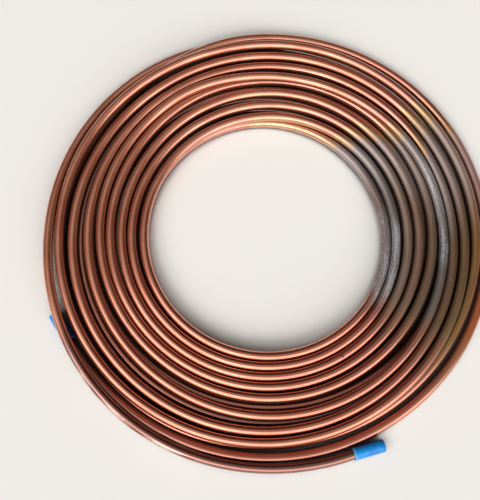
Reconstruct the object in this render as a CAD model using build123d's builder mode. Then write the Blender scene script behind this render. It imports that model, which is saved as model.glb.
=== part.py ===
"""Flat two-layer coil of soft copper tube with a plastic cap on each end of the tube.

Millimetres. The coil lies flat: +Z is up along the coil's axis, Z = 0 is the floor
that the lower turns rest on, and the origin is the centre of the eye on that floor.
Angles run counter-clockwise seen from above, from +X.
"""
import os
from math import asin, cos, degrees, pi, radians, sin, sqrt, tan

from build123d import *

# Tube: 5/16 in soft copper, as sold by the coil
TUBE_OD = 7.94
TUBE_WALL = 0.81

# Winding: two layers of turns, with a gap between each turn and the next
EYE_DIAMETER = 191.0
UPPER_TURNS = 9
UPPER_GAP = 1.16
LOWER_TURNS = 7
LOWER_GAP = 4.16
SECTION_SIDES = 8

# Plastic caps pushed over both ends of the tube
CAP_LENGTH = 25.5
CAP_WALL = 0.9
CAP_END_WALL = 1.2
CAP_FIT = 0.05
CAP_RIM_WIDTH = 1.2
CAP_RIM_HEIGHT = 0.2
CAP_END_BEVEL = 0.6

# Lead: the end of the tube that lies on the floor just outside the coil
LEAD_MOUTH_ANGLE = 209.0
LEAD_MOUTH_FLARE = 2.5
LEAD_BEND_ANGLE = 226.0
LEAD_TURN_IN_ANGLE = 415.0
LEAD_END_ANGLE = 457.0
LEAD_GAP = 0.3
LEAD_MIDDLE_BULGE = 0.9
LEAD_BULGE = 5.9

# Tail: the other end, which rises over the lead's cap and comes down past it
TAIL_START_ANGLE = 102.0
TAIL_CLEAR_ANGLE = 135.0
TAIL_MIDDLE_ANGLE = 235.0
TAIL_BEND_ANGLE = 276.0
TAIL_MOUTH_ANGLE = 290.5
TAIL_GAP = 1.2
TAIL_MIDDLE_SPREAD = 6.5
TAIL_BEND_SPREAD = 6.6
TAIL_CAP_GAP = 0.4
CROSSING_GAP = 0.2

# Sizes that follow from the ones above
TUBE_RADIUS = TUBE_OD / 2
FIRST_TURN = EYE_DIAMETER / 2 + TUBE_RADIUS
UPPER_LAST = FIRST_TURN + (UPPER_TURNS - 1) * (TUBE_OD + UPPER_GAP)
LOWER_LAST = FIRST_TURN + (LOWER_TURNS - 1) * (TUBE_OD + LOWER_GAP)
LOWER_HEIGHT = TUBE_RADIUS
UPPER_HEIGHT = LOWER_HEIGHT + TUBE_OD
CAP_BORE = TUBE_RADIUS + CAP_FIT
CAP_RADIUS = CAP_BORE + CAP_WALL
CAP_RIM_RADIUS = CAP_RADIUS + CAP_RIM_HEIGHT
CAP_DEPTH = CAP_LENGTH - CAP_END_WALL
SECTION_SIDE = TUBE_OD * tan(pi / SECTION_SIDES)
OUTSIDE = max(UPPER_LAST, LOWER_LAST) + TUBE_OD

os.makedirs("parts", exist_ok=True)


def around(angle, radius):
    """Point at an angle in degrees and a radius about the coil's axis."""
    return (radius * cos(radians(angle)), radius * sin(radians(angle)))


def tube_section():
    """Section of one turn in the current sketch: flats as far apart as the tube is wide."""
    RegularPolygon(TUBE_RADIUS, SECTION_SIDES, major_radius=False, rotation=180 / SECTION_SIDES)


def layer_section(turns, gap, height):
    """Section of one layer of turns, with a groove from each turn to the next."""
    pitch = TUBE_OD + gap
    outward = 1 if height > TUBE_OD else -1
    with Locations((FIRST_TURN, height)):
        Rectangle((turns - 1) * pitch, SECTION_SIDE, align=(Align.MIN, Align.CENTER))
    for turn in range(turns - 1):
        with Locations((FIRST_TURN + (turn + 0.5) * pitch, height + outward * SECTION_SIDE / 2)):
            Rectangle(gap / sqrt(2), gap / sqrt(2), rotation=45, mode=Mode.SUBTRACT)
    for turn in range(turns):
        with Locations((FIRST_TURN + turn * pitch, height)):
            tube_section()


# The lead lies as high above the floor as its cap lifts it
with BuildLine(Plane.XY.offset(CAP_RIM_RADIUS)) as lead_path:
    lead_round = ThreePointArc(
        around(LEAD_BEND_ANGLE, OUTSIDE + LEAD_GAP),
        around(
            (LEAD_BEND_ANGLE + LEAD_TURN_IN_ANGLE) / 2, OUTSIDE + LEAD_GAP + LEAD_MIDDLE_BULGE
        ),
        around(LEAD_TURN_IN_ANGLE, OUTSIDE + LEAD_GAP + LEAD_BULGE),
    )
    TangentArc(lead_round @ 1, around(LEAD_END_ANGLE, LOWER_LAST), tangent=lead_round % 1)
    lead_flare = TangentArc(
        lead_round @ 0,
        around(LEAD_MOUTH_ANGLE, OUTSIDE + LEAD_GAP + LEAD_MOUTH_FLARE),
        tangent=-(lead_round % 0),
    )

# The tail lies in a plane tipped about the axis, highest where it crosses the lead's cap
LEAD_CAP_REACH = OUTSIDE + LEAD_GAP + LEAD_MOUTH_FLARE
CROSSING_ANGLE = LEAD_MOUTH_ANGLE - degrees(CAP_LENGTH / 2 / LEAD_CAP_REACH)
CROSSING_HEIGHT = 2 * CAP_RIM_RADIUS + CROSSING_GAP + TUBE_RADIUS
TAIL_START_REACH = LOWER_LAST * cos(radians(TAIL_START_ANGLE - CROSSING_ANGLE))
TAIL_TILT = asin((CROSSING_HEIGHT - LOWER_HEIGHT) / (LEAD_CAP_REACH - TAIL_START_REACH))
TAIL_PLANE = Plane(
    origin=(0, 0, CROSSING_HEIGHT - LEAD_CAP_REACH * sin(TAIL_TILT)),
    x_dir=(*around(CROSSING_ANGLE, cos(TAIL_TILT)), sin(TAIL_TILT)),
    z_dir=(*around(CROSSING_ANGLE, -sin(TAIL_TILT)), cos(TAIL_TILT)),
)
TAIL_NEAR = OUTSIDE + TAIL_GAP
LEAD_OUTSIDE = OUTSIDE + LEAD_GAP + TUBE_RADIUS
TAIL_MOUTH_REACH = LEAD_OUTSIDE + TAIL_CAP_GAP + CAP_RIM_RADIUS
with BuildLine(TAIL_PLANE) as tail_path:
    tail_round = ThreePointArc(
        around(TAIL_CLEAR_ANGLE - CROSSING_ANGLE, TAIL_NEAR),
        around(TAIL_MIDDLE_ANGLE - CROSSING_ANGLE, TAIL_NEAR + TAIL_MIDDLE_SPREAD),
        around(TAIL_BEND_ANGLE - CROSSING_ANGLE, TAIL_NEAR + TAIL_BEND_SPREAD),
    )
    TangentArc(
        tail_round @ 0,
        around(TAIL_START_ANGLE - CROSSING_ANGLE, LOWER_LAST),
        tangent=-(tail_round % 0),
    )
    tail_flare = TangentArc(
        tail_round @ 1,
        around(TAIL_MOUTH_ANGLE - CROSSING_ANGLE, TAIL_MOUTH_REACH),
        tangent=tail_round % 1,
    )

# Mouth of each cap: +Z of the plane points along the tube, into the cap
LEAD_MOUTH = Plane(origin=lead_flare @ 1, z_dir=lead_flare % 1)
TAIL_MOUTH = Plane(origin=tail_flare @ 1, z_dir=tail_flare % 1)

# Turns: ridges of both layers on one core, turned about the coil's axis
with BuildPart() as tube_coil:
    with BuildSketch(Plane.XZ):
        with Locations((FIRST_TURN, TUBE_OD)):
            Rectangle(
                min(UPPER_LAST, LOWER_LAST) - FIRST_TURN,
                TUBE_OD,
                align=(Align.MIN, Align.CENTER),
            )
        layer_section(UPPER_TURNS, UPPER_GAP, UPPER_HEIGHT)
        layer_section(LOWER_TURNS, LOWER_GAP, LOWER_HEIGHT)
    revolve(axis=Axis.Z)

    # Lead and tail: the same tube, run on from the outermost turn to each cap
    for path in (lead_path, tail_path):
        wire = path.wires()[0]
        with BuildSketch(Plane(origin=wire @ 0, x_dir=(0, 0, 1), z_dir=wire % 0)):
            tube_section()
        sweep(path=wire)

    # Straight, open end of the tube inside each cap
    for mouth in (LEAD_MOUTH, TAIL_MOUTH):
        with BuildSketch(mouth):
            Circle(TUBE_RADIUS)
            Circle(TUBE_RADIUS - TUBE_WALL, mode=Mode.SUBTRACT)
        extrude(amount=CAP_DEPTH)
tube_coil.part.label = "tube_coil"
export_step(tube_coil.part, "parts/tube_coil.step")


def make_cap(mouth):
    """Closed plastic cap: a cup with a low rim at its mouth and a bevelled blind end."""
    with BuildPart() as cap:
        with BuildSketch(mouth):
            Circle(CAP_RADIUS)
        extrude(amount=CAP_LENGTH)
        chamfer(cap.faces().sort_by(Axis(mouth.origin, mouth.z_dir))[-1].edges(), CAP_END_BEVEL)
        with BuildSketch(mouth):
            Circle(CAP_RIM_RADIUS)
        extrude(amount=CAP_RIM_WIDTH)
        with BuildSketch(mouth):
            Circle(CAP_BORE)
        extrude(amount=CAP_DEPTH, mode=Mode.SUBTRACT)
    return cap.part


for name, mouth in (("lead_cap", LEAD_MOUTH), ("tail_cap", TAIL_MOUTH)):
    cap_part = make_cap(mouth)
    cap_part.label = name
    export_step(cap_part, f"parts/{name}.step")
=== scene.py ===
"""Coil of soft copper tube with a plastic cap on each end, dressed over its frame.

Sizes are in millimetres until they reach a mesh, which is in metres. Angles run
counter-clockwise seen from above, from +X, and grow by a full turn with every lap.
"""
import sys

import logging
from dataclasses import dataclass
from enum import Enum
from math import atan2, cos, degrees, hypot, pi, radians, sin

import bpy
import numpy as np
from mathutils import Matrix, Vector


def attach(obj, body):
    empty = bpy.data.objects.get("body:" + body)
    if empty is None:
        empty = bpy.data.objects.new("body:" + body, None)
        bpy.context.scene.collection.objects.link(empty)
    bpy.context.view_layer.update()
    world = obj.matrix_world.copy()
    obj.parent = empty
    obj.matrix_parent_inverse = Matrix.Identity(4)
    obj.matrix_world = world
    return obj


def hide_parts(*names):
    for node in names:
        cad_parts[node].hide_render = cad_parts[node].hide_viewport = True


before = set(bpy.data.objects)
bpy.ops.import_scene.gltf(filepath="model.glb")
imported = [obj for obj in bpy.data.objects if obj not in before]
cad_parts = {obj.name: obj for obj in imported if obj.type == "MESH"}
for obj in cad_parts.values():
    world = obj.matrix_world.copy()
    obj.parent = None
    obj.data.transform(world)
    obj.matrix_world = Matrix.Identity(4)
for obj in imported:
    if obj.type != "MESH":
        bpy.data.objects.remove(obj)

LOG = logging.getLogger("coil")
MM = 0.001
BODY = "root"
RUN_ATTRIBUTE = "run"
TO_DEGREES = 180 / pi
NOISE_MIDDLE = 0.5
OCCLUSION_SAMPLES = 8

# How far from each end of a cap its width is read
CAP_END_ZONE = 2.5

Knot = tuple[float, float, float]
Colour = tuple[float, float, float, float]

# Signal at the start and the end of a run, then the value at each unless they are 0 and 1
Ramp = tuple[float, ...]


class Layer(Enum):
    """Height of a tube's centre in each layer of the coil, in tube diameters."""

    LOWER = 0.5
    UPPER = 1.5


class Slot(Enum):
    """Material slots of the part."""

    COPPER = "copper"
    CAP_PLASTIC = "cap_plastic"


def linear(shown: float) -> float:
    """Turn a displayed value of 0 to 255 into a linear one of 0 to 1."""
    share = shown / 255
    return share / 12.92 if shown <= 10 else ((share + 0.055) / 1.055) ** 2.4


def paint(red: float, green: float, blue: float) -> Colour:
    """Turn a display colour of 0 to 255 into a linear one, with full alpha."""
    return (linear(red), linear(green), linear(blue), 1.0)


class Signal:
    """Socket of a node tree that takes part in sums written in Python."""

    def __init__(self, sheet: "Sheet", socket: bpy.types.NodeSocket) -> None:
        """Keep the socket and the sheet that it belongs to."""
        self.sheet = sheet
        self.socket = socket

    def sum_with(self, operation: str, *others: "Value") -> "Signal":
        """Run a Math node on this signal and any others that it needs."""
        return self.sheet.maths(operation, self, *others)

    def __add__(self, other: "Value") -> "Signal":
        """Add."""
        return self.sum_with("ADD", other)

    __radd__ = __add__

    def __sub__(self, other: "Value") -> "Signal":
        """Take away."""
        return self.sum_with("SUBTRACT", other)

    def __rsub__(self, other: float) -> "Signal":
        """Take this signal away from a number."""
        return self.sheet.maths("SUBTRACT", other, self)

    def __mul__(self, other: "Value") -> "Signal":
        """Multiply."""
        return self.sum_with("MULTIPLY", other)

    __rmul__ = __mul__

    def __truediv__(self, other: "Value") -> "Signal":
        """Divide."""
        return self.sum_with("DIVIDE", other)

    def most(self, other: "Value") -> "Signal":
        """Take the larger of two signals."""
        return self.sum_with("MAXIMUM", other)

    def clamp(self) -> "Signal":
        """Keep the signal between 0 and 1."""
        return self.sum_with("MAXIMUM", 0.0).sum_with("MINIMUM", 1.0)

    def ramp(self, low: float, high: float, start: float = 0.0, end: float = 1.0) -> "Signal":
        """Run smoothly from one value to another as the signal rises.

        Args:
            low: Signal at which the run starts.
            high: Signal at which the run ends.
            start: Value at the start.
            end: Value at the end.

        Returns:
            The eased value.
        """
        return self.sheet.node(
            "ShaderNodeMapRange",
            {"interpolation_type": "SMOOTHSTEP"},
            {"Value": self, "From Min": low, "From Max": high, "To Min": start, "To Max": end},
        )

    def band(self, start: float, full: float, fall: float, gone: float) -> "Signal":
        """Rise from 0 at the start to 1 where it is full, and fall until it is gone."""
        return self.ramp(start, full) * self.ramp(fall, gone, 1, 0)


Value = Signal | float
Run = tuple[Signal, Signal, Signal]


@dataclass(frozen=True)
class Grain:
    """Pattern that is drawn out along a piece: its steps along and around, then its fineness."""

    along: float
    around: float
    scale: float
    detail: float
    rough: float = 0.5


class Sheet:
    """Node tree that is written as expressions on signals."""

    def __init__(self, tree: bpy.types.NodeTree) -> None:
        """Keep the tree."""
        self.tree = tree

    def add(
        self, kind: str, settings: dict | None = None, inputs: dict | None = None
    ) -> bpy.types.Node:
        """Add a node.

        Args:
            kind: Type of the node.
            settings: Properties that are set first; "stops" fills a colour ramp.
            inputs: Value or signal for each socket, by name or number.

        Returns:
            The node.
        """
        node = self.tree.nodes.new(kind)
        for key, value in (settings or {}).items():
            if key == "stops":
                band = node.color_ramp.elements
                while len(band) < len(value):
                    band.new(0.5)
                for stop, (place, colour) in zip(band, value):
                    stop.position, stop.color = place, colour
            else:
                setattr(node, key, value)
        for key, value in (inputs or {}).items():
            if isinstance(value, Signal):
                self.tree.links.new(value.socket, node.inputs[key])
            else:
                node.inputs[key].default_value = value
        return node

    def node(
        self,
        kind: str,
        settings: dict | None = None,
        inputs: dict | None = None,
        output: int | str = 0,
    ) -> Signal:
        """Add a node as add does, and give back one of its outputs, by name or number."""
        return Signal(self, self.add(kind, settings, inputs).outputs[output])

    def maths(self, operation: str, *values: Value) -> Signal:
        """Add a Math node with its inputs in order, and give back its result."""
        return self.node("ShaderNodeMath", {"operation": operation}, dict(enumerate(values)))

    def vector(self, x: Value, y: Value, z: Value) -> Signal:
        """Join three signals into a vector."""
        return self.node("ShaderNodeCombineXYZ", None, {"X": x, "Y": y, "Z": z})

    def distance(self, x: Signal, y: Signal) -> Signal:
        """Measure how far a place is from the middle of a plane."""
        return self.maths("SQRT", x * x + y * y)


class ShaderSheet(Sheet):
    """Node tree of a material or of the surroundings."""

    def __init__(self, owner: bpy.types.Material | bpy.types.World) -> None:
        """Empty the owner's tree.

        Args:
            owner: Material or surroundings that the tree belongs to.
        """
        owner.use_nodes = True
        super().__init__(owner.node_tree)
        self.owner = owner
        self.tree.nodes.clear()

    @classmethod
    def material(cls, name: str) -> "ShaderSheet":
        """Start a new material."""
        return cls(bpy.data.materials.new(name))

    def split(self, vector: Signal) -> Run:
        """Take a vector apart into its three parts."""
        parts = self.add("ShaderNodeSeparateXYZ", None, {0: vector}).outputs
        return Signal(self, parts[0]), Signal(self, parts[1]), Signal(self, parts[2])

    def place(self) -> Run:
        """Give the object's own coordinates in millimetres.

        Returns:
            The coordinates X, Y and Z.
        """
        point = self.node("ShaderNodeTexCoord", output="Object")
        scaled = self.node(
            "ShaderNodeVectorMath", {"operation": "SCALE"}, {0: point, "Scale": 1 / MM}
        )
        return self.split(scaled)

    def run(self) -> Run:
        """Give the piece's own run attribute.

        Returns:
            The millimetres along the piece, and the cosine and sine of the angle around it.
        """
        held = self.node(
            "ShaderNodeAttribute", {"attribute_name": RUN_ATTRIBUTE}, output="Vector"
        )
        return self.split(held)

    def noise(self, at: Signal, scale: float, detail: float, rough: float = 0.5) -> Signal:
        """Add a noise pattern.

        Args:
            at: Place that the pattern is read at.
            scale: Features per unit of the place.
            detail: Number of finer octaves.
            rough: Strength of the finer octaves.

        Returns:
            Noise of about 0.25 to 0.75.
        """
        return self.node(
            "ShaderNodeTexNoise",
            {"noise_dimensions": "3D"},
            {"Vector": at, "Scale": scale, "Detail": detail, "Roughness": rough},
        )

    def grain(self, run: Run, grain: Grain) -> Signal:
        """Add a noise pattern that is drawn out along the piece.

        Args:
            run: Run attribute of the piece.
            grain: The pattern.

        Returns:
            Noise of about 0.25 to 0.75.
        """
        along, across, rise = run
        at = self.vector(along * grain.along, across * grain.around, rise * grain.around)
        return self.noise(at, grain.scale, grain.detail, grain.rough)

    def openness(self, reach: float) -> Signal:
        """Tell open places from crevices.

        Args:
            reach: How far a crevice's other side may be, in millimetres.

        Returns:
            1 in the open, 0 deep in a crevice.
        """
        return self.node(
            "ShaderNodeAmbientOcclusion",
            {"samples": OCCLUSION_SAMPLES},
            {"Distance": reach * MM},
            output="AO",
        )

    def blend(self, mask: Value, base: Signal | Colour, over: Signal | Colour) -> Signal:
        """Lay one colour over another.

        Args:
            mask: How much of the upper colour shows.
            base: Lower colour.
            over: Upper colour.

        Returns:
            The blended colour.
        """
        return self.node(
            "ShaderNodeMix", {"data_type": "RGBA"}, {0: mask, 6: base, 7: over}, output=2
        )

    def bump(self, height: Signal, distance: float, strength: float) -> Signal:
        """Turn a height into a normal.

        Args:
            height: Relief, of about 0 to 1.
            distance: Depth of a full step, in millimetres.
            strength: Strength of the relief.

        Returns:
            The normal.
        """
        return self.node(
            "ShaderNodeBump",
            None,
            {"Height": height, "Distance": distance * MM, "Strength": strength},
        )

    def surface(self, inputs: dict) -> bpy.types.Material:
        """End the tree in a Principled shader.

        Args:
            inputs: Value or signal for each of its sockets.

        Returns:
            The finished material.
        """
        shader = self.node("ShaderNodeBsdfPrincipled", None, inputs)
        self.add("ShaderNodeOutputMaterial", None, {"Surface": shader})
        return self.owner


@dataclass(frozen=True)
class Patch:
    """Patch of another finish on the coil, by its place about the axis.

    It fades over its feather at both ends, and beyond the full part of its depth.
    """

    angle: float
    reach: float
    radius: float
    depth: float
    feather: float = 8.0
    full: float = 0.6

    def mask(self, sheet: ShaderSheet, angle: Signal, radius: Signal) -> Signal:
        """Mask the patch.

        Args:
            sheet: Material in the making.
            angle: Angle about the coil's axis, in degrees.
            radius: Distance from the axis.

        Returns:
            1 inside the patch, 0 outside it.
        """
        turn = sheet.maths("ABSOLUTE", sheet.maths("WRAP", angle - self.angle, 180.0, -180.0))
        away = sheet.maths("ABSOLUTE", radius - self.radius)
        ends = turn.ramp(self.reach - self.feather, self.reach, 1, 0)
        return ends * away.ramp(self.depth * self.full, self.depth, 1, 0)


@dataclass(frozen=True)
class Band:
    """Strip of another colour along a signal: it starts, is full, falls and is gone."""

    start: float
    full: float
    fall: float
    gone: float
    colour: Colour
    share: float

    def lay(
        self, sheet: ShaderSheet, signal: Signal, base: Signal, within: Signal | None = None
    ) -> Signal:
        """Lay the strip over a colour.

        Args:
            sheet: Material in the making.
            signal: The signal that the strip follows.
            base: Colour beneath it.
            within: Mask that the strip keeps to.

        Returns:
            The colour with the strip.
        """
        mask = signal.band(self.start, self.full, self.fall, self.gone)
        if within is not None:
            mask = within * mask
        return sheet.blend(mask * self.share, base, self.colour)


@dataclass(frozen=True)
class Spot:
    """Round stain, by its place about the axis and its size."""

    angle: float
    radius: float
    size: float

    def mask(self, sheet: ShaderSheet, x: Signal, y: Signal) -> Signal:
        """Mask the stain.

        Args:
            sheet: Material in the making.
            x: Place along X.
            y: Place along Y.

        Returns:
            1 inside the stain, 0 outside it.
        """
        off_x = x - self.radius * cos(radians(self.angle))
        off_y = y - self.radius * sin(radians(self.angle))
        return sheet.distance(off_x, off_y).ramp(self.size * 0.5, self.size, 1, 0)


@dataclass(frozen=True)
class CopperFinish:
    """Satin soft copper, warm and clean on the left and dull with tarnish on the right."""

    # Clean copper: two tones in soft clouds, a thin pale film towards +Y and -X, and painted shade
    # that turns it browner towards -Y and +X
    fresh: Colour = paint(230, 147, 111)
    deep: Colour = paint(206, 116, 82)
    painted_shade_brown: Colour = paint(204, 102, 66)
    cloud_scale: float = 0.02
    drift_scale: float = 0.006
    mottle: Grain = Grain(0.03, 0.35, 1.0, 3)
    streak: Grain = Grain(0.02, 1.2, 2.2, 3, 0.6)
    fine: Grain = Grain(0.25, 3.0, 2.0, 3, 0.6)
    cloud_share: float = 0.6
    drift_share: float = 0.5
    tones: Ramp = (0.58, 1.02)
    film_and_shade_way: tuple[float, float] = (-0.6, 0.8)
    film_and_shade: Ramp = (-40, 90)
    painted_shade_share: float = 0.55

    # Tarnish: its tone from the eye to the rim, and the angles of its two edges
    tarnish: tuple[tuple[float, Colour], ...] = (
        (98, paint(142, 128, 124)),
        (107, paint(136, 134, 132)),
        (117, paint(156, 134, 116)),
        (127, paint(150, 120, 102)),
        (137, paint(132, 106, 82)),
        (146, paint(122, 122, 120)),
        (155, paint(122, 96, 74)),
        (164, paint(126, 100, 70)),
        (172, paint(136, 108, 64)),
        (181, paint(188, 106, 66)),
    )
    tarnish_start: float = 94.0
    tarnish_width: float = 94.0
    soot: Colour = paint(98, 84, 74)
    soot_streaks: Ramp = (0.38, 0.62)
    soot_share: float = 0.35
    dull_share: float = 0.95
    upper_edge: Ramp = (98, 150, 58, 37)
    lower_edge: Ramp = (98, 170, 33, 38)
    upper_fade: Ramp = (-7, 3, 1, 0)
    lower_fade: Ramp = (-7, 7)
    edge_drift: float = 30.0
    edge_mottle: float = 14.0

    # Heat colours along the edges of the tarnish and on the innermost turn
    gold: Colour = paint(216, 176, 122)
    pink: Colour = paint(206, 128, 122)
    pink_above: Band = Band(0, 6, 9, 24, pink, 0.25)
    pink_below: Band = Band(-20, -10, -6, 2, pink, 0.12)
    bloom_above: Band = Band(-42, -16, -7, 0, paint(204, 188, 186), 0.5)
    gold_above: Band = Band(-9, -4, 0, 6, gold, 0.55)
    olive_below: Band = Band(-14, -5, 2, 12, paint(150, 122, 88), 0.35)
    gold_inside: Band = Band(56, 66, 92, 106, gold, 0.45)
    pink_inside: Band = Band(94, 108, 128, 150, pink, 0.28)
    inside: Ramp = (100, 106, 1, 0)

    # Wear: rubbed patches, and the tail's pale scraped edge; painted shadow in darker brown over
    # the outer turns on the tail's side
    scuff: Colour = paint(206, 208, 214)
    scuffs: tuple[Patch, ...] = (
        Patch(345, 24, 107, 6.0),
        Patch(350, 24, 98.5, 5.0),
        Patch(15, 14, 146, 5.0),
        Patch(356, 10, 147, 5.0),
    )
    scuff_grain: Ramp = (0.46, 0.58)
    scuff_share: float = 0.8
    tail_shadow_brown: Colour = paint(92, 42, 28)
    tail_shadow: Patch = Patch(254, 52, 190, 10.0, 10.0)
    tail_shadow_share: float = 0.75
    scrape: Colour = paint(238, 198, 180)
    tail_scrape: Patch = Patch(233, 24, 190, 10.0, 10.0)
    scrape_edge: tuple[float, ...] = (0.28, 0.45, 0.84, 0.95)
    scrape_breaks: Ramp = (0.42, 0.52)
    scrape_share: float = 0.9

    # Stains: scattered small marks and a few larger spots
    stain: Colour = paint(70, 40, 28)
    spots: tuple[Spot, ...] = (
        Spot(284, 175.0, 1.1),
        Spot(300, 118.7, 1.8),
        Spot(283, 147.7, 1.2),
        Spot(214, 136.0, 0.9),
    )
    marks: Grain = Grain(0.5, 2.2, 1.0, 1)
    marks_ramp: Ramp = (0.70, 0.74)
    marks_share: float = 0.5
    stain_share: float = 0.8

    # Painted shade: dark between the turns, where they crowd each other
    crevice_shade: Colour = paint(34, 12, 6)
    crevice_shade_reach: float = 10.0
    crevice_shade_ramp: Ramp = (0.13, 0.71, 0.96, 0.0)

    # Gloss
    rough_clean: float = 0.29
    rough_tarnish: float = 0.50
    rough_mottle: float = 0.12
    rough_scuff: float = 0.05
    rough_stain: float = 0.2
    rough_fine: float = 0.06
    metal_lost_dull: float = 0.2
    metal_lost_film: float = 0.15
    metal_lost_scrape: float = 0.4
    dent_depth: float = 0.01
    dent_strength: float = 0.25
    coat_rough: float = 0.22
    coat_index: float = 1.85

    def material(self) -> bpy.types.Material:
        """Build the copper.

        Returns:
            The material.
        """
        sheet = ShaderSheet.material("soft_copper")
        x, y, z = sheet.place()
        run = sheet.run()
        along, across, _ = run
        angle = sheet.maths("ARCTAN2", y, x) * TO_DEGREES
        radius = sheet.distance(x, y)
        cloud = sheet.noise(sheet.vector(x, y, z), self.cloud_scale, 3)
        drift = sheet.noise(sheet.vector(along, 0.0, 0.0), self.drift_scale, 2)
        mottle = sheet.grain(run, self.mottle)
        streak = sheet.grain(run, self.streak)
        fine = sheet.grain(run, self.fine)

        tones = mottle + cloud * self.cloud_share + (drift - NOISE_MIDDLE) * self.drift_share
        body = sheet.blend(tones.ramp(*self.tones), self.fresh, self.deep)
        # Painted shade: the copper turns browner towards -Y and +X, where the film ends
        film_and_shade = (y * self.film_and_shade_way[1] + x * self.film_and_shade_way[0]).ramp(*self.film_and_shade)
        body = sheet.blend((1.0 - film_and_shade) * self.painted_shade_share, body, self.painted_shade_brown)

        shift = (drift - NOISE_MIDDLE) * self.edge_drift
        shift = shift + (mottle - NOISE_MIDDLE) * self.edge_mottle
        above = angle - radius.ramp(*self.upper_edge) + shift
        below = angle + radius.ramp(*self.lower_edge) + shift
        dull = above.ramp(*self.upper_fade) * below.ramp(*self.lower_fade)
        start, width = self.tarnish_start, self.tarnish_width
        stops = tuple(((reach - start) / width, colour) for reach, colour in self.tarnish)
        tone = sheet.node("ShaderNodeValToRGB", {"stops": stops}, {0: (radius - start) / width})
        grey = sheet.blend(streak.ramp(*self.soot_streaks) * self.soot_share, tone, self.soot)
        body = self.pink_above.lay(sheet, above, body)
        body = self.pink_below.lay(sheet, below, body)
        body = sheet.blend(dull * self.dull_share, body, grey)
        body = self.bloom_above.lay(sheet, above, body)
        body = self.gold_above.lay(sheet, above, body)
        body = self.olive_below.lay(sheet, below, body)
        inside = radius.ramp(*self.inside)
        body = self.gold_inside.lay(sheet, angle, body, inside)
        body = self.pink_inside.lay(sheet, angle, body, inside)

        worn = self.scuffs[0].mask(sheet, angle, radius)
        for patch in self.scuffs[1:]:
            worn = worn.most(patch.mask(sheet, angle, radius))
        worn = worn * (streak * 0.5 + fine * 0.5).ramp(*self.scuff_grain)
        body = sheet.blend(worn * self.scuff_share, body, self.scuff)
        # Painted shadow: darker brown over the outer turns on the tail's side, dulling their
        # highlights
        tail = self.tail_shadow.mask(sheet, angle, radius)
        body = sheet.blend(tail * self.tail_shadow_share, body, self.tail_shadow_brown)

        marks = sheet.grain(run, self.marks).ramp(*self.marks_ramp) * self.marks_share
        for spot in self.spots:
            marks = marks.most(spot.mask(sheet, x, y))
        body = sheet.blend(marks * self.stain_share, body, self.stain)

        # Painted shade: the copper darkens where the turns crowd each other
        gap = sheet.openness(self.crevice_shade_reach).ramp(*self.crevice_shade_ramp)
        body = sheet.blend(gap, body, self.crevice_shade)
        scrape = self.tail_scrape.mask(sheet, angle, radius)
        scrape = scrape * across.band(*self.scrape_edge) * streak.ramp(*self.scrape_breaks)
        body = sheet.blend(scrape * self.scrape_share, body, self.scrape)

        metal = 1.0 - dull * self.metal_lost_dull - film_and_shade * (1.0 - dull) * self.metal_lost_film
        metal = metal - scrape * self.metal_lost_scrape
        rough = self.rough_clean + dull * (self.rough_tarnish - self.rough_clean)
        rough = rough + (mottle - NOISE_MIDDLE) * self.rough_mottle
        rough = rough + worn * self.rough_scuff + marks * self.rough_stain
        rough = rough + (fine - NOISE_MIDDLE) * self.rough_fine
        return sheet.surface(
            {
                "Base Color": body,
                "Metallic": metal.clamp(),
                "Roughness": rough.clamp(),
                "Normal": sheet.bump(mottle, self.dent_depth, self.dent_strength),
                "Coat Weight": 1.0 - dull,
                "Coat Roughness": self.coat_rough,
                "Coat IOR": self.coat_index,
            }
        )


@dataclass(frozen=True)
class CapFinish:
    """Moulded soft plastic, azure blue, with faint rubbing towards its rim and painted shade in
    deep navy where it lies close to other surfaces.
    """

    colour: Colour = paint(8, 146, 220)
    shade: Colour = paint(6, 116, 206)
    cloud_scale: float = 0.12
    clouds: Ramp = (0.35, 0.65)
    rubbed: Colour = paint(120, 200, 252)
    rim: Ramp = (0.9, 2.2, 1, 0)
    scratch: Grain = Grain(0.12, 3.0, 2.4, 3, 0.6)
    scratches: Ramp = (0.62, 0.72)
    scratch_share: float = 0.6
    rubbed_share: float = 0.45
    # Painted shade: deep navy where the cap lies close against the tube and the floor
    deep: Colour = paint(4, 26, 84)
    deep_shade_reach: float = 12.0
    deep_shade_ramp: Ramp = (0.35, 0.90, 0.85, 0.0)
    grain_scale: float = 3.0
    grain_share: float = 0.6
    rough: float = 0.34
    rough_grain: float = 0.2
    rough_rubbed: float = 0.12
    specular: float = 0.5
    dent_depth: float = 0.04
    dent_strength: float = 0.6

    def material(self) -> bpy.types.Material:
        """Build the plastic.

        Returns:
            The material.
        """
        sheet = ShaderSheet.material("cap_plastic")
        place = sheet.vector(*sheet.place())
        run = sheet.run()
        cloud = sheet.noise(place, self.cloud_scale, 2)
        grain = sheet.noise(place, self.grain_scale, 3)
        scratch = sheet.grain(run, self.scratch)
        scratches = scratch.ramp(*self.scratches) * self.scratch_share
        rubbed = (run[0].ramp(*self.rim) + scratches).clamp()
        colour = sheet.blend(cloud.ramp(*self.clouds), self.colour, self.shade)
        colour = sheet.blend(rubbed * self.rubbed_share, colour, self.rubbed)
        # Painted shade: the plastic turns deep navy where other surfaces crowd it
        gap = sheet.openness(self.deep_shade_reach).ramp(*self.deep_shade_ramp)
        colour = sheet.blend(gap, colour, self.deep)
        rough = self.rough + (grain - NOISE_MIDDLE) * self.rough_grain + rubbed * self.rough_rubbed
        dents = grain * self.grain_share + scratch * (1.0 - self.grain_share)
        return sheet.surface(
            {
                "Base Color": colour,
                "Roughness": rough.clamp(),
                "Specular IOR Level": self.specular,
                "Normal": sheet.bump(dents, self.dent_depth, self.dent_strength),
            }
        )


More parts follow.
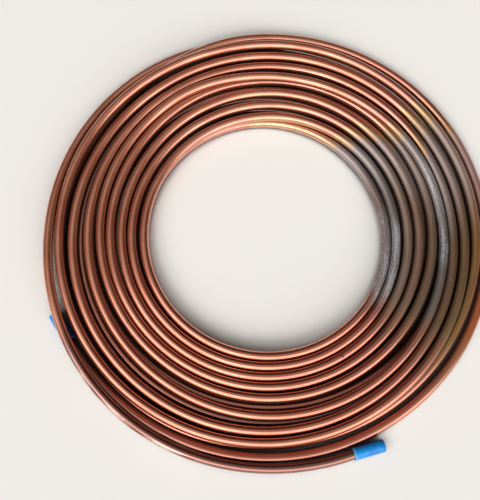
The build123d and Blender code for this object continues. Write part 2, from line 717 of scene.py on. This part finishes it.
@dataclass(frozen=True)
class FloorFinish:
    """Plain pale floor, with painted shade where the coil crowds it."""

    colour: Colour = paint(236, 234, 230)
    cloud: Colour = paint(220, 218, 213)
    cloud_scale: float = 0.01
    clouds: Ramp = (0.3, 0.7)
    cloud_share: float = 0.06
    # Painted shade: dark brown where the coil crowds the floor
    shade: Colour = paint(48, 17, 9)
    shade_reach: float = 20.0
    shade_ramp: Ramp = (0.34, 0.56, 0.96, 0.0)
    rough: float = 0.85

    def material(self) -> bpy.types.Material:
        """Build the floor's finish.

        Returns:
            The material.
        """
        sheet = ShaderSheet.material("plain_floor")
        cloud = sheet.noise(sheet.vector(*sheet.place()), self.cloud_scale, 2)
        mask = cloud.ramp(*self.clouds) * self.cloud_share
        colour = sheet.blend(mask, self.colour, self.cloud)
        # Painted shade: the floor turns dark brown where the coil crowds it
        gap = sheet.openness(self.shade_reach).ramp(*self.shade_ramp)
        colour = sheet.blend(gap, colour, self.shade)
        return sheet.surface({"Base Color": colour, "Roughness": self.rough})


def mesh_piece(
    name: str,
    points: np.ndarray,
    faces: list[tuple[int, ...]],
    runs: np.ndarray | None = None,
) -> bpy.types.Object:
    """Make a smooth piece from its points and faces.

    Args:
        name: Name of the piece.
        points: Its points, in metres.
        faces: Point numbers of each face, seen from outside.
        runs: Run attribute of each point.

    Returns:
        The piece, linked into the scene.
    """
    mesh = bpy.data.meshes.new(name)
    mesh.from_pydata([tuple(p) for p in points], [], faces)
    if runs is not None:
        layer = mesh.attributes.new(RUN_ATTRIBUTE, "FLOAT_VECTOR", "POINT")
        layer.data.foreach_set("vector", np.asarray(runs, np.float32).ravel())
    mesh.validate()
    mesh.polygons.foreach_set("use_smooth", [True] * len(mesh.polygons))
    piece = bpy.data.objects.new(name, mesh)
    bpy.context.scene.collection.objects.link(piece)
    return piece


@dataclass
class CapLine:
    """Line of a cap in the frame: its mouth, its direction and its length."""

    mouth: np.ndarray
    way: np.ndarray
    length: float

    @classmethod
    def of(cls, node: str) -> "CapLine":
        """Read the line of a cap from its node.

        Args:
            node: Name of the cap's node.

        Returns:
            The line, from the mouth to the closed end.
        """
        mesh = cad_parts[node].data
        points = np.unique(np.round([tuple(v.co) for v in mesh.vertices], 7), axis=0) / MM
        middle = points.mean(0)
        way = np.linalg.svd(points - middle)[2][0]
        place = (points - middle) @ way
        off = np.linalg.norm(points - middle - place[:, None] * way, axis=1)
        start = off[place < place.min() + CAP_END_ZONE].max()
        end = off[place > place.max() - CAP_END_ZONE].max()
        if end > start:
            way, place = -way, -place
        return cls(middle + way * place.min(), way, float(place.max() - place.min()))

    def inside(self, depth: float) -> np.ndarray:
        """Give the point on the line at a depth behind the mouth."""
        return self.mouth + self.way * depth


@dataclass
class Centreline:
    """Centre of the tube, from the lead's cap through every turn to the tail's cap.

    Knots are (angle travelled, radius, height). Each row of a table is a turn, with its
    radius at every 45 degrees. Lifts replace knots where one turn crosses another.
    """

    diameter: float
    lead: tuple[Knot, ...] = (
        (226, 180.9, 6.0), (240, 181.4, 7.4), (251, 181.3, 7.2), (262, 181.0, 5.8),
        (270, 180.8, 4.6), (285, 180.9, 3.97), (300, 180.5, 3.97), (315, 181.8, 3.97),
        (330, 183.4, 3.97), (345, 184.5, 3.97), (360, 185.3, 3.97), (377, 186.0, 3.97),
        (408, 186.4, 3.97), (429, 184.7, 4.8), (450, 180.6, 9.1), (460, 177.9, 11.8),
        (472, 176.5, 10.2), (480, 174.5, 7.6), (495, 172.5, 4.4), (510, 172.2, 3.97),
        (560, 172.2, 3.97), (575, 173.9, 3.97), (585, 174.7, 3.97), (600, 174.8, 3.97),
        (615, 172.7, 3.97), (630, 170.2, 3.97), (645, 169.9, 3.97), (660, 170.6, 4.3),
        (675, 170.9, 5.2), (690, 172.0, 7.2), (705, 173.1, 10.3),
    )
    upper_start: float = 720.0
    upper: tuple[tuple[float, ...], ...] = (
        (174.4, 174.0, 172.2, 172.8, 172.5, 171.6, 169.3, 166.5),
        (164.1, 162.8, 161.8, 159.8, 161.2, 161.2, 160.6, 157.4),
        (154.7, 153.5, 151.8, 149.8, 148.3, 146.8, 149.0, 149.1),
        (146.8, 143.2, 140.2, 141.5, 138.3, 135.0, 135.3, 135.9),
        (138.0, 141.0, 139.5, 133.5, 130.0, 127.1, 126.6, 126.7),
        (126.8, 127.0, 126.5, 122.0, 120.3, 119.1, 118.6, 118.1),
        (117.3, 117.0, 115.0, 112.2, 111.9, 111.0, 110.6, 109.9),
        (107.3, 106.7, 103.8, 102.0, 101.9, 102.2, 102.6, 102.4),
    )
    lifts: tuple[Knot, ...] = (
        (810, 172.2, 13.0), (820, 170.7, 15.5), (832, 170.8, 15.8), (840, 171.3, 14.8),
        (855, 172.8, 12.2), (1005, 168.5, 11.91), (1845, 143.2, 14.6), (1890, 140.2, 15.0),
        (1905, 140.4, 15.0), (1920, 141.2, 14.5), (1935, 141.5, 12.5), (2205, 141.0, 6.95),
        (2250, 139.5, 7.1), (2265, 137.6, 7.1), (2280, 135.8, 7.6), (2295, 133.5, 10.5),
        (3570, 101.9, 11.91), (3585, 100.5, 11.91), (3600, 99.2, 11.0), (3645, 98.1, 9.0),
        (3660, 99.1, 7.5), (3675, 100.7, 5.3), (3690, 101.6, 4.2), (3705, 102.0, 3.97),
        (3720, 102.6, 3.97),
    )
    lower_start: float = 3735.0
    lower: tuple[tuple[float, ...], ...] = (
        (103.5, 103.5, 103.0, 103.5, 105.0, 107.5, 110.5, 113.5),
        (117.5, 116.5, 115.0, 115.0, 116.5, 119.0, 121.5, 124.0),
        (127.0, 126.0, 125.0, 125.0, 127.5, 133.0, 133.4, 132.4),
        (133.0, 135.0, 135.5, 134.0, 138.0, 143.5, 148.3, 148.0),
        (147.0, 146.0, 143.5, 142.0, 146.5, 152.0, 156.5, 156.5),
        (157.5, 156.3, 154.3, 154.0, 156.5, 160.5, 164.5, 165.0),
        (164.4, 164.0, 162.8, 162.2, 163.2, 168.5, 172.4),
    )
    tail: tuple[Knot, ...] = (
        (6210, 174.5, 3.97), (6221, 178.5, 3.97), (6232, 182.0, 3.97), (6240, 183.0, 3.97),
        (6255, 183.2, 4.4), (6270, 182.2, 7.0), (6285, 181.3, 10.2), (6300, 180.7, 13.2),
        (6315, 182.2, 15.0), (6325, 183.3, 15.4), (6335, 184.8, 14.8), (6345, 186.4, 13.2),
        (6360, 187.6, 11.0), (6375, 188.2, 9.4), (6390, 188.3, 8.0), (6400, 188.6, 7.1),
    )

    # Grid in degrees, lap of the tail's cap, and depths of the points inside a cap
    grid: int = 3
    tail_laps: int = 17
    cap_knots: tuple[float, ...] = (0, 8, 16, 24)
    cap_points: tuple[float, ...] = (3, 7, 14, 21)
    mouth_fade: float = 5.0
    level_passes: int = 4

    # Settling: how firmly the drawn line pulls, and where laps that aren't there are kept
    steps: int = 400
    firm_steps: int = 340
    firm_pull: float = 0.25
    slack_pull: float = 0.03
    level_pull: float = 0.4
    far: float = 1e4
    far_gap: float = 100.0

    def knots(self, lead: CapLine, tail: CapLine) -> np.ndarray:
        """Gather every knot in order.

        Args:
            lead: Line of the lead's cap.
            tail: Line of the tail's cap.

        Returns:
            One row for each knot.
        """
        rows: dict[float, tuple[float, float]] = {}
        for start, table, layer in (
            (self.upper_start, self.upper, Layer.UPPER),
            (self.lower_start, self.lower, Layer.LOWER),
        ):
            for lap, turn in enumerate(table):
                for eighth, reach in enumerate(turn):
                    rows[start + 360 * lap + 45 * eighth] = (reach, layer.value * self.diameter)
        for at, reach, height in (*self.lead, *self.lifts, *self.tail):
            rows[at] = (reach, height)
        for line, laps in ((lead, 0), (tail, self.tail_laps)):
            for depth in self.cap_knots:
                x, y, height = line.inside(depth)
                rows[degrees(atan2(y, x)) % 360 + 360 * laps] = (hypot(x, y), height)
        return np.array([(at, *rows[at]) for at in sorted(rows)])

    @staticmethod
    def curve(x: np.ndarray, y: np.ndarray, at: np.ndarray) -> np.ndarray:
        """Run a natural cubic through values.

        Args:
            x: Places of the values, rising.
            y: The values.
            at: Places to read.

        Returns:
            The curve's value at each of them.
        """
        gap = np.diff(x)
        count = len(x)
        bend = np.zeros(count)
        diagonal, right = np.ones(count), np.zeros(count)
        diagonal[1:-1] = 2 * (gap[:-1] + gap[1:])
        right[1:-1] = 6 * np.diff(np.diff(y) / gap)
        above, below = np.r_[0, gap[1:]], np.r_[gap[:-1], 0]
        for i in range(1, count):
            share = below[i - 1] / diagonal[i - 1] if i < count - 1 else 0.0
            diagonal[i] -= share * above[i - 1]
            right[i] -= share * right[i - 1]
        for i in range(count - 2, 0, -1):
            bend[i] = (right[i] - above[i] * bend[i + 1]) / diagonal[i]
        i = np.clip(np.searchsorted(x, at) - 1, 0, count - 2)
        past, left = at - x[i], x[i + 1] - at
        cubic = (bend[i] * left**3 + bend[i + 1] * past**3) / (6 * gap[i])
        before = (y[i] / gap[i] - bend[i] * gap[i] / 6) * left
        return cubic + before + (y[i + 1] / gap[i] - bend[i + 1] * gap[i] / 6) * past

    @staticmethod
    def ease(values: np.ndarray) -> np.ndarray:
        """Smooth values a little, and keep the first and last."""
        middle = 0.25 * values[:-2] + 0.5 * values[1:-1] + 0.25 * values[2:]
        return np.r_[values[0], middle, values[-1]]

    def settle(
        self, at: np.ndarray, reach: np.ndarray, level: np.ndarray
    ) -> tuple[np.ndarray, np.ndarray]:
        """Let the turns lie on and beside one another without passing through.

        Args:
            at: Angle travelled, in steps of the grid.
            reach: Radius that each step should have.
            level: Height that each step should have.

        Returns:
            The radius and the height that each step comes to rest at.
        """
        per_turn = 360 // self.grid
        cell = (at / self.grid).astype(int)
        cell -= cell[0] // per_turn * per_turn
        laps = cell[-1] // per_turn + 1
        radius, height = reach.copy(), level.copy()
        for step in range(self.steps):
            pull = self.firm_pull if step < self.firm_steps else self.slack_pull
            radius += pull * (reach - radius)
            height += pull * self.level_pull * (level - height)
            r = self.far + self.far_gap * np.arange(laps * per_turn)
            z = np.zeros(laps * per_turn)
            r[cell], z[cell] = radius, height
            r, z = r.reshape(laps, per_turn), z.reshape(laps, per_turn)
            out, up = r[:, None] - r[None], z[:, None] - z[None]
            apart = np.hypot(out, up)
            apart[np.arange(laps), np.arange(laps)] = np.inf
            push = np.clip(self.diameter - apart, 0, None) * 0.5 / apart
            radius = self.ease((r + (push * out).sum(1)).reshape(-1)[cell])
            height = self.ease((z + (push * up).sum(1)).reshape(-1)[cell])
            height = np.maximum(height, self.diameter / 2)
        return radius, height

    def points(self, lead: CapLine, tail: CapLine) -> np.ndarray:
        """Give the settled centreline.

        Args:
            lead: Line of the lead's cap.
            tail: Line of the tail's cap.

        Returns:
            Points from inside the lead's cap to inside the tail's cap, in metres.
        """
        knots = self.knots(lead, tail)
        start = degrees(atan2(lead.mouth[1], lead.mouth[0])) % 360
        end = degrees(atan2(tail.mouth[1], tail.mouth[0])) % 360 + 360 * self.tail_laps
        at = np.arange(np.ceil(knots[0, 0] / self.grid) * self.grid, knots[-1, 0], self.grid)
        level = np.interp(at, knots[:, 0], knots[:, 2])
        for _ in range(self.level_passes):
            level = self.ease(level)
        radius, height = self.settle(at, self.curve(knots[:, 0], knots[:, 1], at), level)
        fine = np.linspace(start, end, int(end - start))
        radius, height = self.curve(at, radius, fine), self.curve(at, height, fine)
        for line, near, row in ((lead, fine - start, 0), (tail, end - fine, -1)):
            fade = np.exp(-near / self.mouth_fade)
            radius = radius + fade * (hypot(line.mouth[0], line.mouth[1]) - radius[row])
            height = height + fade * (line.mouth[2] - height[row])
        turn = np.radians(fine)
        coil = np.c_[radius * np.cos(turn), radius * np.sin(turn), height]
        first = np.array([lead.inside(depth) for depth in reversed(self.cap_points)])
        last = np.array([tail.inside(depth) for depth in self.cap_points])
        return np.concatenate((first, coil, last)) * MM


class TubeTree(Sheet):
    """Geometry Nodes that run a round section along a centreline."""

    def __init__(self) -> None:
        """Build the tree, with an input for each of its sizes."""
        super().__init__(bpy.data.node_groups.new("tube_along_centreline", "GeometryNodeTree"))
        face = self.tree.interface
        face.new_socket(name="Centreline", in_out="INPUT", socket_type="NodeSocketGeometry")
        self.names = {
            name: face.new_socket(name=name, in_out="INPUT", socket_type=kind).identifier
            for name, kind in (
                ("Tube Radius", "NodeSocketFloat"),
                ("Ring Spacing", "NodeSocketFloat"),
                ("Sides", "NodeSocketInt"),
                ("Finish", "NodeSocketMaterial"),
            )
        }
        face.new_socket(name="Tube", in_out="OUTPUT", socket_type="NodeSocketGeometry")
        group = self.add("NodeGroupInput")
        given = {socket.name: Signal(self, socket) for socket in group.outputs}
        line = self.node(
            "GeometryNodeSetCurveNormal", {"mode": "Z_UP"}, {"Curve": given["Centreline"]}
        )
        line = self.node(
            "GeometryNodeResampleCurve",
            {"mode": "LENGTH"},
            {"Curve": line, "Length": given["Ring Spacing"]},
        )
        line, along = self.keep(line, "Length", "Along")
        section = self.node(
            "GeometryNodeCurvePrimitiveCircle",
            None,
            {"Resolution": given["Sides"], "Radius": given["Tube Radius"]},
            "Curve",
        )
        section, around = self.keep(section, "Factor", "Around")
        tube = self.node(
            "GeometryNodeCurveToMesh",
            None,
            {"Curve": line, "Profile Curve": section, "Fill Caps": True},
        )
        turn = around * (2 * pi)
        run = self.vector(along * (1 / MM), self.maths("COSINE", turn), self.maths("SINE", turn))
        tube = self.node(
            "GeometryNodeStoreNamedAttribute",
            {"data_type": "FLOAT_VECTOR", "domain": "POINT"},
            {"Geometry": tube, "Name": RUN_ATTRIBUTE, "Value": run},
        )
        tube = self.node("GeometryNodeSetShadeSmooth", None, {"Geometry": tube})
        tube = self.node("GeometryNodeRealizeInstances", None, {"Geometry": tube})
        tube = self.node(
            "GeometryNodeSetMaterial", None, {"Geometry": tube, "Material": given["Finish"]}
        )
        self.add("NodeGroupOutput", None, {"Tube": tube})

    def keep(self, curve: Signal, measure: str, name: str) -> tuple[Signal, Signal]:
        """Keep a measure of a curve for the mesh that comes of it.

        Args:
            curve: The curve.
            measure: Output of Spline Parameter that is kept.
            name: Name that it is kept under.

        Returns:
            The curve and the measure.
        """
        capture = self.add(
            "GeometryNodeCaptureAttribute", {"domain": "POINT"}, {"Geometry": curve}
        )
        capture.capture_items.new("FLOAT", name)
        measured = self.node("GeometryNodeSplineParameter", output=measure)
        self.tree.links.new(measured.socket, capture.inputs[1])
        return Signal(self, capture.outputs[0]), Signal(self, capture.outputs[1])


@dataclass
class WoundTube:
    """The copper tube, drawn and wound as one piece."""

    diameter: float = 7.94
    ring_spacing: float = 5.0
    sides: int = 24

    def build(self, lead: CapLine, tail: CapLine, finish: bpy.types.Material) -> bpy.types.Object:
        """Wind the tube.

        Args:
            lead: Line of the lead's cap.
            tail: Line of the tail's cap.
            finish: Copper.

        Returns:
            The tube as a plain mesh.
        """
        points = Centreline(self.diameter).points(lead, tail)
        curve = bpy.data.curves.new("tube_centreline", "CURVE")
        curve.dimensions = "3D"
        line = curve.splines.new("POLY")
        line.points.add(len(points) - 1)
        line.points.foreach_set("co", np.c_[points, np.ones(len(points))].ravel())
        guide = bpy.data.objects.new("tube_centreline", curve)
        bpy.context.scene.collection.objects.link(guide)
        tree = TubeTree()
        modifier = guide.modifiers.new("tube", "NODES")
        modifier.node_group = tree.tree
        sizes = {
            "Tube Radius": self.diameter / 2 * MM,
            "Ring Spacing": self.ring_spacing * MM,
            "Sides": self.sides,
            "Finish": finish,
        }
        for name, value in sizes.items():
            modifier[tree.names[name]] = value
        wound = guide.evaluated_get(bpy.context.evaluated_depsgraph_get())
        shape = bpy.data.meshes.new_from_object(wound)
        bpy.data.objects.remove(guide)
        shape.name = "wound_tube"
        tube = bpy.data.objects.new("wound_tube", shape)
        bpy.context.scene.collection.objects.link(tube)
        return tube

    def dress(self, tube: bpy.types.Object) -> None:
        """Set the tube in the frame in place of the turned solid.

        Args:
            tube: The wound tube.
        """
        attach(tube, BODY)
        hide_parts("tube_coil")


@dataclass
class EndCap:
    """Closed plastic cap that is pushed over an end of the tube."""

    name: str
    node: str
    length: float
    wall: float = 0.9
    end_wall: float = 1.2
    bore: float = 4.02

    # Rim at the mouth, with a soft foot and rounded edges
    rim_width: float = 1.2
    rim_height: float = 0.2
    rim_foot: float = 0.35
    rim_side: float = 0.12
    foot_share: float = 0.35
    rim_corner: float = 0.15
    rim_bevel: float = 0.06
    mouth_round: float = 0.2
    mouth_bevel: float = 0.05

    # Edges of the bore, round of the closed end, and extra rings along the wall
    bore_lip: tuple[float, float] = (0.12, 0.15)
    bore_round: float = 0.4
    end_round: float = 0.8
    end_steps: int = 6
    end_ring: float = 0.45
    wall_rings: tuple[float, ...] = (0.7, 0.4)
    sides: int = 64

    def profile(self) -> list[tuple[float, float]]:
        """Give the cap's outline from the centre of its closed end to the bottom of its bore.

        Returns:
            Depth behind the mouth and radius of each point.
        """
        radius = self.bore + self.wall
        rim = radius + self.rim_height
        floor = self.length - self.end_wall
        outline = [(self.length, 0.0), (self.length, radius * self.end_ring)]
        for step in range(self.end_steps + 1):
            turn = pi / 2 * step / self.end_steps
            outline.append(
                (
                    self.length - self.end_round * (1 - cos(turn)),
                    radius - self.end_round * (1 - sin(turn)),
                )
            )
        outline += [(self.length * share, radius) for share in self.wall_rings]
        outline += [
            (self.rim_width + self.rim_foot, radius),
            (self.rim_width + self.rim_side, radius + self.rim_height * self.foot_share),
            (self.rim_width, rim - self.rim_bevel),
            (self.rim_width - self.rim_corner, rim),
            (self.mouth_round, rim),
            (self.mouth_bevel, rim - self.rim_bevel),
            (0.0, rim - self.mouth_round),
            (0.0, self.bore + self.bore_lip[1]),
            (self.bore_lip[0], self.bore),
            (floor - self.bore_round, self.bore),
            (floor, self.bore - self.bore_round),
            (floor, 0.0),
        ]
        return outline

    def build(self, line: CapLine) -> bpy.types.Object:
        """Turn the cap about its line.

        Args:
            line: Line of the cap in the frame.

        Returns:
            The cap.
        """
        way = line.way
        side = np.cross(way, (0.0, 0.0, 1.0))
        side /= np.linalg.norm(side)
        top = np.cross(side, way)
        points, runs, rings = [], [], []
        for depth, radius in self.profile():
            count = self.sides if radius else 1
            rings.append(range(len(points), len(points) + count))
            for step in range(count):
                turn = 2 * pi * step / self.sides
                points.append(line.inside(depth) + radius * (cos(turn) * side + sin(turn) * top))
                runs.append((depth, cos(turn), sin(turn)))
        faces = []
        for near, far in zip(rings, rings[1:]):
            for step in range(self.sides):
                a, b = step, (step + 1) % self.sides
                if len(near) == 1:
                    faces.append((near[0], far[b], far[a]))
                elif len(far) == 1:
                    faces.append((near[a], near[b], far[0]))
                else:
                    faces.append((near[a], near[b], far[b], far[a]))
        return mesh_piece(self.name, np.array(points) * MM, faces, np.array(runs))

    def dress(self, cap: bpy.types.Object, finish: bpy.types.Material) -> None:
        """Colour the cap and set it in the frame in place of its node.

        Args:
            cap: The turned cap.
            finish: Its plastic.
        """
        cap.data.materials.append(finish)
        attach(cap, BODY)
        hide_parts(self.node)


@dataclass(frozen=True)
class SoftLight:
    """Far soft lamp, by its direction from the coil."""

    name: str
    azimuth: float
    elevation: float
    strength: float
    softness: float
    mirrored: bool = True


@dataclass
class Studio:
    """Floor, lamps, surroundings and camera."""

    floor_size: float = 60.0

    # Surroundings: low light, the horizon, a soft light overhead and a bank to the front
    dim: float = 0.03
    horizon: float = 0.60
    overhead: float = 0.46
    overhead_lean: float = 15.0
    overhead_azimuth: float = 205.0
    bank: float = 2.9
    bank_azimuth: float = 260.0
    bank_reach: float = 58.0
    bank_lean: float = 50.0
    bank_slope: float = 0.16
    bank_fade: float = 30.0
    bank_top: Ramp = (-38, -6)
    bank_foot: Ramp = (8, 36)
    overhead_fade: Ramp = (18, 56)
    horizon_fade: Ramp = (0.05, 0.13)

    # Backdrop, which mirrored rays see near the horizon
    backdrop: float = 0.87
    backdrop_fade: Ramp = (0.03, 0.09, 1.0, 0.0)
    sky_tint: Colour = (1.0, 0.98, 0.96, 1.0)

    # Lamps
    lights: tuple[SoftLight, ...] = (
        SoftLight("lamp_key", 252, 48, 0.12, 10),
        SoftLight("lamp_fill", 258, 42, 0.25, 16, mirrored=False),
    )
    lamp_distance: float = 2.0

    # Camera, in metres and degrees, with its focal length in pixels of the photograph
    eye: tuple[float, float, float] = (-0.022, -0.1605, 0.5953)
    tip: float = 14.0
    clip_start: float = 0.01
    focal_pixels: float = 727.0
    picture: tuple[int, int] = (480, 500)
    sensor: float = 36.0

    def build_floor(self) -> bpy.types.Object:
        """Lay the floor.

        Returns:
            The floor.
        """
        half = self.floor_size / 2
        corners = np.array([(-half, -half, 0), (half, -half, 0), (half, half, 0), (-half, half, 0)])
        floor = mesh_piece("floor", corners, [(0, 1, 2, 3)])
        floor.data.materials.append(FloorFinish().material())
        return floor

    def build_lights(self) -> None:
        """Hang the lamps. The fill lights the floor and caps and keeps out of reflections."""
        for light in self.lights:
            lamp = bpy.data.lights.new(light.name, "SUN")
            lamp.energy = light.strength
            lamp.angle = radians(light.softness)
            rig = bpy.data.objects.new(light.name, lamp)
            flat = cos(radians(light.elevation))
            way = Vector(
                (
                    flat * cos(radians(light.azimuth)),
                    flat * sin(radians(light.azimuth)),
                    sin(radians(light.elevation)),
                )
            )
            rig.location = way * self.lamp_distance
            rig.rotation_euler = way.to_track_quat("Z", "Y").to_euler()
            rig.visible_glossy = light.mirrored
            bpy.context.scene.collection.objects.link(rig)

    def build_surroundings(self) -> None:
        """Set soft surroundings, and a plain backdrop for what is seen directly or mirrored.

        The light comes from overhead, from a wide bank to the front and from the horizon.
        """
        world = bpy.data.worlds.new("studio")
        sheet = ShaderSheet(world)
        x, y, z = sheet.split(sheet.node("ShaderNodeTexCoord", output="Generated"))
        lean = sheet.maths("ARCCOSINE", z) * TO_DEGREES
        turn = sheet.maths("ARCTAN2", y, x) * TO_DEGREES - self.bank_azimuth
        turn = sheet.maths("WRAP", turn, 180.0, -180.0)
        tilt = lean - self.bank_lean - turn * self.bank_slope
        side = sheet.maths("ABSOLUTE", turn)
        wide = side.ramp(self.bank_reach, self.bank_reach + self.bank_fade, 1, 0)
        bank = wide * tilt.ramp(*self.bank_top) * tilt.ramp(*self.bank_foot, self.bank, 0.0)
        flat, azimuth = sin(radians(self.overhead_lean)), radians(self.overhead_azimuth)
        toward = x * (flat * cos(azimuth)) + y * (flat * sin(azimuth))
        toward = toward + z * cos(radians(self.overhead_lean))
        away = sheet.maths("ARCCOSINE", toward) * TO_DEGREES
        strength = bank + away.ramp(*self.overhead_fade, self.overhead, 0.0)
        strength = strength + z.ramp(*self.horizon_fade, self.horizon, self.dim)
        ray = sheet.add("ShaderNodeLightPath").outputs
        camera = Signal(sheet, ray["Is Camera Ray"])
        mirrored = Signal(sheet, ray["Is Glossy Ray"])
        passed = Signal(sheet, ray["Is Transmission Ray"])
        seen = camera.most(mirrored.most(passed) * z.ramp(*self.backdrop_fade))
        strength = strength * (1.0 - seen) + seen * self.backdrop
        back = sheet.node(
            "ShaderNodeBackground", None, {"Color": self.sky_tint, "Strength": strength}
        )
        sheet.add("ShaderNodeOutputWorld", None, {"Surface": back})
        bpy.context.scene.world = world

    def build_camera(self) -> bpy.types.Object:
        """Set the camera at the photograph's viewing angle.

        Returns:
            The camera.
        """
        lens = bpy.data.cameras.new("camera")
        lens.sensor_fit = "AUTO"
        lens.sensor_width = self.sensor
        lens.lens = self.focal_pixels * self.sensor / max(self.picture)
        lens.clip_start = self.clip_start
        camera = bpy.data.objects.new("camera", lens)
        camera.location = self.eye
        camera.rotation_euler = (radians(self.tip), 0, 0)
        bpy.context.scene.collection.objects.link(camera)
        bpy.context.scene.camera = camera
        return camera


def main() -> None:
    """Build the coil and the studio, and report each piece."""
    logging.basicConfig(level=logging.INFO, format="%(name)s: %(message)s", stream=sys.stdout)
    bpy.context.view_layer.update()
    bpy.context.scene.view_settings.view_transform = "Standard"
    lead, tail = CapLine.of("lead_cap"), CapLine.of("tail_cap")
    for name, line in (("lead", lead), ("tail", tail)):
        mouth, way = line.mouth.round(2), line.way.round(3)
        LOG.info("%s mouth %s way %s length %.2f", name, mouth, way, line.length)

    winding = WoundTube()
    tube = winding.build(lead, tail, CopperFinish().material())
    winding.dress(tube)
    LOG.info("%s: %d faces", tube.name, len(tube.data.polygons))

    plastic = CapFinish().material()
    for name, node, line in (
        ("lead_end_cap", "lead_cap", lead),
        ("tail_end_cap", "tail_cap", tail),
    ):
        cap = EndCap(name, node, line.length)
        piece = cap.build(line)
        cap.dress(piece, plastic)
        LOG.info("%s: %d faces", piece.name, len(piece.data.polygons))

    studio = Studio()
    studio.build_floor()
    studio.build_lights()
    studio.build_surroundings()
    studio.build_camera()
    LOG.info("studio ready")


if __name__ == "__main__":
    main()
